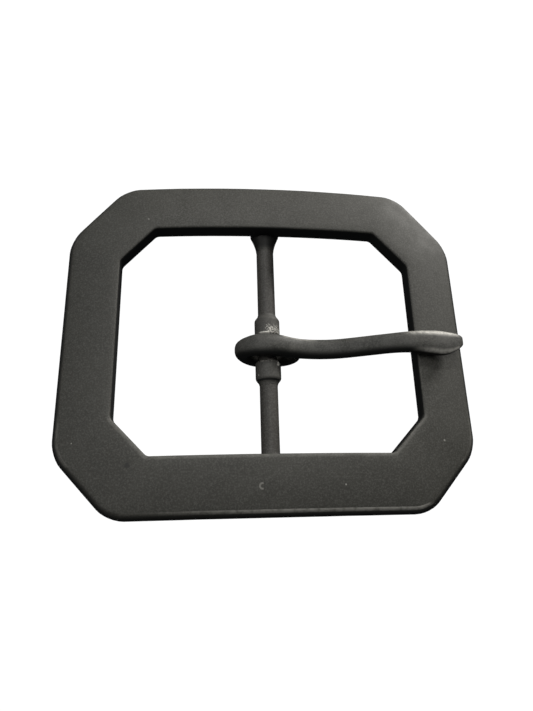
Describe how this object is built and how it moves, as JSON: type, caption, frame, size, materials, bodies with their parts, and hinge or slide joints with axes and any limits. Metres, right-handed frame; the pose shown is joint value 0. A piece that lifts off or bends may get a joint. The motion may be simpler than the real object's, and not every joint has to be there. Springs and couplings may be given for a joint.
{
  "type": "belt buckle",
  "caption": "Arched octagonal centre-bar belt buckle with a swinging tongue held between collars on the bar.",
  "frame": {"origin": "middle of the centre bar, on its axis, which is also the middle of the frame seen from the front", "axes": "+X along the belt towards the tongue's tip, +Y along the bar across the belt, +Z out of the front of the buckle"},
  "size_m": [0.0702, 0.059, 0.011],
  "materials": {
    "frame_paint": "matt black paint on a zinc casting",
    "bar_paint": "matt black paint",
    "collar_paint": "matt black paint, rubbed to bare metal beside the tongue",
    "tongue_paint": "matt black paint, rubbed grey on its raised edges"
  },
  "bodies": {
    "buckle": {"frame": "frame_paint", "centre_bar": "bar_paint", "far_collar": "collar_paint", "near_collar": "collar_paint"},
    "prong": {"tongue": "tongue_paint"}
  },
  "joints": [
    {"name": "tongue_hinge", "type": "hinge", "parent": "buckle", "child": "prong", "pos_m": [0, 0, 0], "axis": [0, -1, 0], "range_deg": [0, 159]}
  ]
}
